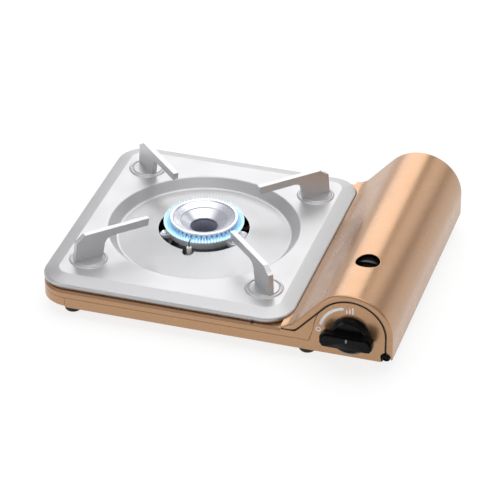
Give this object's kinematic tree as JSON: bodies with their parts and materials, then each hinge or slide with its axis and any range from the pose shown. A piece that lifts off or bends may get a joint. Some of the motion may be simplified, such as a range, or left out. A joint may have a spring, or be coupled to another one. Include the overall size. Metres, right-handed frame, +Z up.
{
  "type": "butane cassette stove",
  "caption": "Slim portable butane stove: shallow metal body with a dished drip pan and pan supports round a ring burner, hinged half-round canister cover and a front control knob.",
  "frame": {"origin": "on the table, at the centre of the stove's outline box", "axes": "+X towards the canister cover, -Y towards the knob, +Z up"},
  "size_m": [0.336, 0.275, 0.074],
  "materials": {
    "gold_paint": "champagne-gold metallic, semi-gloss",
    "silver_enamel": "light silver-grey, satin",
    "silver_support": "light silver-grey, satin metallic",
    "zinc_steel": "zinc plated",
    "bright_steel": "bright",
    "cast_aluminium": "die-cast, as blasted",
    "polished_aluminium": "machined, bright",
    "brass": "turned",
    "rubber": "matt black",
    "black_gloss": "black, glossy moulding",
    "black_plastic": "black",
    "white_plastic": "white",
    "lead_sleeve": "silicone sleeve",
    "ceramic": "glazed white",
    "magnet": "sintered ferrite",
    "canister_paint": "glossy black lacquer"
  },
  "bodies": {
    "root": {"base_tray": "gold_paint", "front_panel": "gold_paint", "rear_panel": "gold_paint", "upper_case": "gold_paint", "bay_divider": "zinc_steel", "rubber_feet": "rubber", "rubber_buffers": "rubber", "burner_stand": "zinc_steel", "burner_body": "cast_aluminium", "burner_cap": "polished_aluminium", "burner_screws": "bright_steel", "mixing_tube": "cast_aluminium", "gas_jet": "brass", "jet_bracket": "zinc_steel", "gas_pipe": "zinc_steel", "pipe_nuts": "brass", "regulator_body": "cast_aluminium", "regulator_cover": "brass", "regulator_bracket": "zinc_steel", "bracket_screws": "bright_steel", "magnet_yoke": "zinc_steel", "magnet_ring": "magnet", "nozzle_seal": "rubber", "igniter_body": "white_plastic", "ignition_lead": "lead_sleeve", "electrode_ceramic": "ceramic", "electrode_pin": "bright_steel", "electrode_clip": "zinc_steel", "hinge_rod": "bright_steel", "hinge_bushes": "black_gloss"},
    "cover": {"canister_cover": "gold_paint", "cover_rims": "gold_paint", "cover_knuckles": "zinc_steel"},
    "pan": {"drip_pan": "silver_enamel", "pan_support_1": "silver_support", "pan_support_2": "silver_support", "pan_support_3": "silver_support", "pan_support_4": "silver_support", "support_rivets": "bright_steel"},
    "knob": {"control_knob": "black_gloss", "knob_index": "white_plastic", "knob_spindle": "bright_steel", "igniter_cam": "white_plastic"},
    "canister": {"can_shell": "canister_paint", "can_collar": "bright_steel", "can_valve": "brass"},
    "plunger": {"igniter_plunger": "black_plastic"}
  },
  "joints": [
    {"name": "cover_hinge", "type": "hinge", "parent": "root", "child": "cover", "pos_m": [0.1622, 0, 0.0158], "axis": [0, 1, 0], "range_deg": [0, 98]},
    {"name": "knob_turn", "type": "hinge", "parent": "root", "child": "knob", "pos_m": [0.1295, -0.13, 0.0342], "axis": [0, -1, 0], "range_deg": [0, 95]},
    {"name": "igniter_push", "type": "slide", "parent": "root", "child": "plunger", "axis": [-1, 0, 0], "range_m": [0, 0.0041]},
    {"name": "pan_lift", "type": "slide", "parent": "root", "child": "pan", "axis": [0, 0, 1], "range_m": [0, 0.06]},
    {"name": "canister_slide", "type": "slide", "parent": "root", "child": "canister", "axis": [0, 1, 0], "range_m": [0, 0.012]}
  ],
  "couplings": [
    {"joint": "igniter_push", "follows": "knob_turn", "m_per_rad": 0.002412}
  ]
}
